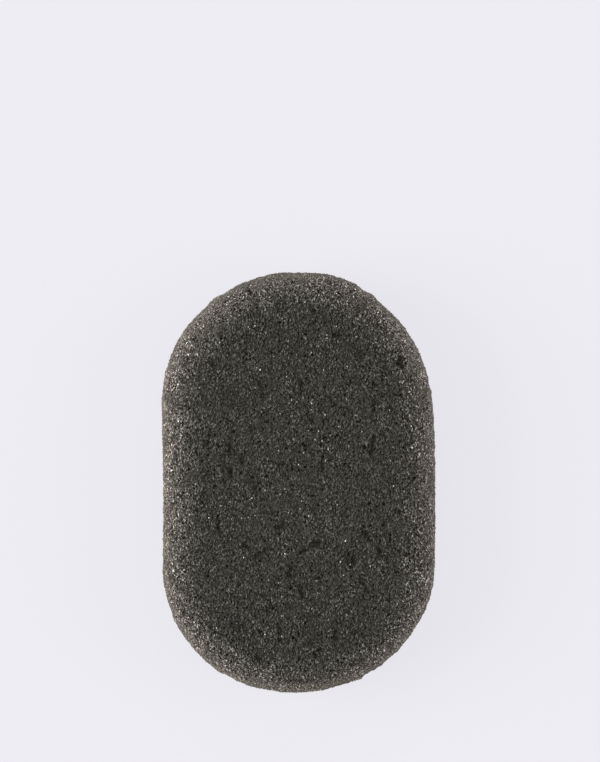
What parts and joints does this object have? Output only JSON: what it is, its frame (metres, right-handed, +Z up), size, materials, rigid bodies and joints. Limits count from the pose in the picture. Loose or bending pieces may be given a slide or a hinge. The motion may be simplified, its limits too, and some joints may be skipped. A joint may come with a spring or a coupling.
{
  "type": "konjac sponge",
  "caption": "Oval pillow-shaped konjac bath sponge of charcoal-grey open-celled foam, with rounded edges, one blunter end and a tight-celled skin over a coarse core.",
  "frame": {"origin": "middle of the outline on the resting plane, under the sponge", "axes": "+Z up out of the face that is turned up; +Y along the sponge towards its rounder head end; +X across it"},
  "size_m": [0.078, 0.12, 0.032],
  "materials": {
    "core_foam": "matte, coarse open cells",
    "face_foam": "matte, fine open cells with small dark pits",
    "back_foam": "matte, fine open cells with small dark pits",
    "rim_foam": "matte, fine open cells with pale cell walls"
  },
  "bodies": {
    "root": {"foam_core": "core_foam", "face_skin": "face_foam", "back_skin": "back_foam", "rim_skin": "rim_foam"}
  },
  "joints": []
}
